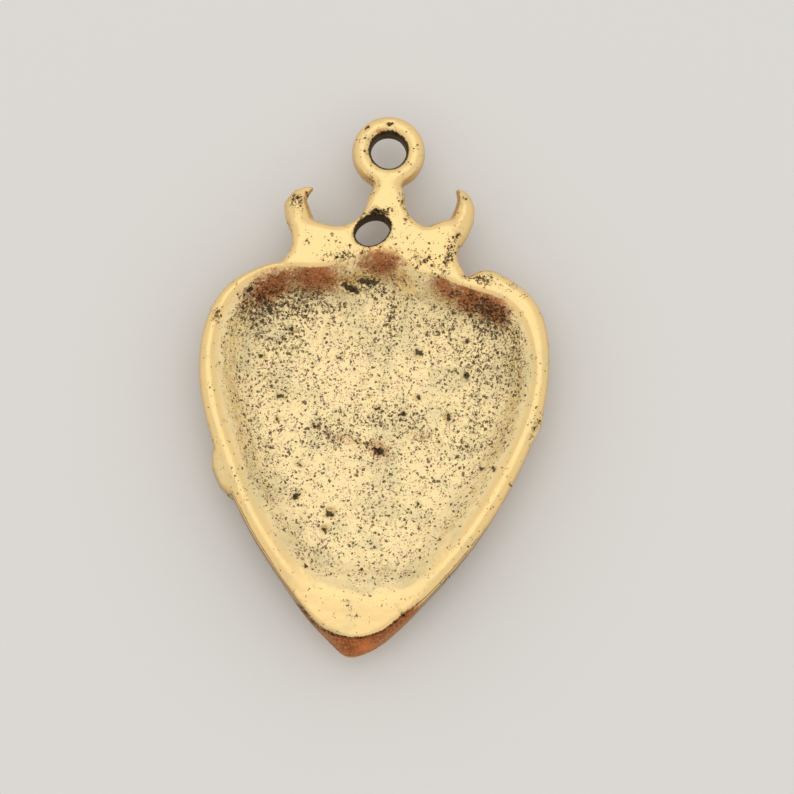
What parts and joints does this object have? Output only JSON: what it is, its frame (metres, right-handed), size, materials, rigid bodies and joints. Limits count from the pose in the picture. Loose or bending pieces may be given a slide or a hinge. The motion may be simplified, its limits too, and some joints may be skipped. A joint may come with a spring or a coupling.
{
  "type": "heart pendant",
  "caption": "Hollow-backed cast heart pendant with a small horned crown, a neck and a ring to hang it by.",
  "frame": {"origin": "on the surface the pendant rests on, under the middle of its length and width", "axes": "+Z out of the hollow back, +Y from the heart's point to the hanging ring, X across the heart"},
  "size_m": [0.029, 0.0457, 0.0048],
  "materials": {
    "antique_gold": "rubbed bright gold plate over a dark antiqued ground"
  },
  "bodies": {
    "root": {"pendant_casting": "antique_gold"}
  },
  "joints": []
}
